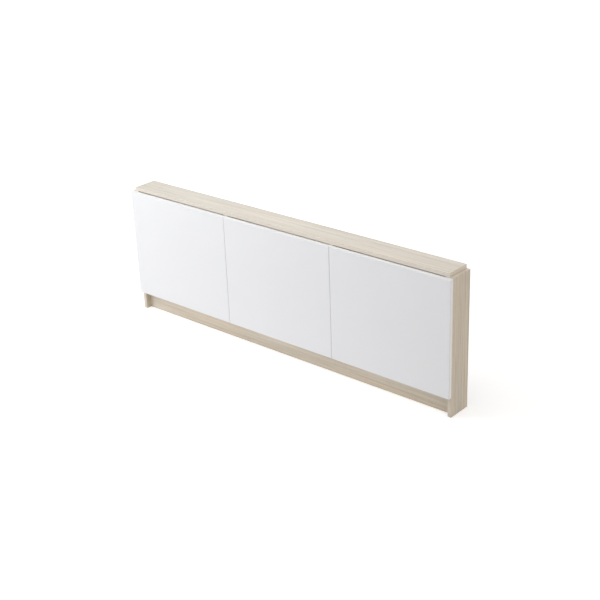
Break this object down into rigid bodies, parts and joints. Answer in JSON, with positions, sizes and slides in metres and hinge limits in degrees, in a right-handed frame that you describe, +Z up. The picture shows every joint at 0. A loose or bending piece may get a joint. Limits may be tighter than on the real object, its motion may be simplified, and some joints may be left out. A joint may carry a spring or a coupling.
{
  "type": "bath panel",
  "caption": "Long bath panel built as a shallow open-backed carcass: white gloss overlay fronts, ash-decor side panels, a recessed plinth and an inset top board that a bath rim covers.",
  "frame": {"origin": "on the floor under the middle of the panel's box", "axes": "+X along the panel to the right of a person who faces the fronts, +Y from the fronts to the open back, +Z up"},
  "size_m": [1.7, 0.126, 0.59],
  "materials": {
    "ash_laminate": "chipboard faced and edge-banded with a pale ash decor, matt with a fine straight grain",
    "white_lacquer": "fibreboard in white high-gloss lacquer on the face and all edges",
    "zinc_casting": "die-cast zinc of the cam fittings, bright and slightly rough",
    "zinc_plated_steel": "pressed steel of the angle brackets and their screws, bright zinc plated"
  },
  "bodies": {
    "root": {"side_panel_left": "ash_laminate", "side_panel_right": "ash_laminate", "upright_end_left": "ash_laminate", "upright_left": "ash_laminate", "upright_right": "ash_laminate", "upright_end_right": "ash_laminate", "top_board": "ash_laminate", "plinth_board": "ash_laminate", "rear_rail": "ash_laminate", "front_left": "white_lacquer", "front_middle": "white_lacquer", "front_right": "white_lacquer"}
  },
  "joints": []
}
